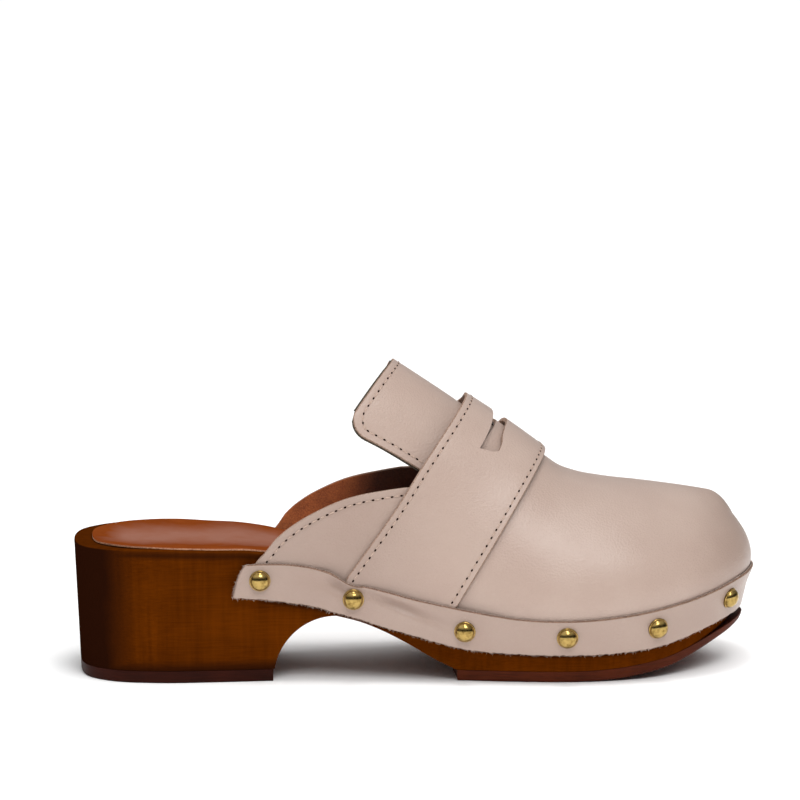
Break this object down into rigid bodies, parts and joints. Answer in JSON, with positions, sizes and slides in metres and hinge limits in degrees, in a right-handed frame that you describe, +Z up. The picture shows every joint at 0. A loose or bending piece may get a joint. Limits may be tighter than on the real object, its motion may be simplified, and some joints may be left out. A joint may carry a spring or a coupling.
{
  "type": "wooden-soled clog mule",
  "caption": "Backless clog with a carved wooden block-heel sole, closed-toe leather upper, tongue flap, slotted saddle strap and a studded leather band round the sole.",
  "frame": {"origin": "middle of the shoe's box, on the floor under its sole", "axes": "+X from the heel to the toe, +Y towards the inner side of the foot, +Z up"},
  "size_m": [0.2536, 0.1, 0.1148],
  "materials": {
    "upper_leather": "nude beige, soft satin, fine grain",
    "wood": "dark brown stain, satin lacquer",
    "rubber": "black brown, satin",
    "sock_leather": "terracotta tan, smooth, glossy",
    "brass": "polished"
  },
  "bodies": {
    "root": {"wood_sole": "wood", "heel_lift": "rubber", "forefoot_outsole": "rubber", "sock": "sock_leather", "upper": "upper_leather", "tongue": "upper_leather", "saddle_strap": "upper_leather", "rand": "upper_leather", "stud_outer_1": "brass", "stud_outer_2": "brass", "stud_outer_3": "brass", "stud_outer_4": "brass", "stud_outer_5": "brass", "stud_outer_6": "brass", "stud_inner_1": "brass", "stud_inner_2": "brass", "stud_inner_3": "brass", "stud_inner_4": "brass", "stud_inner_5": "brass", "stud_inner_6": "brass"}
  },
  "joints": []
}
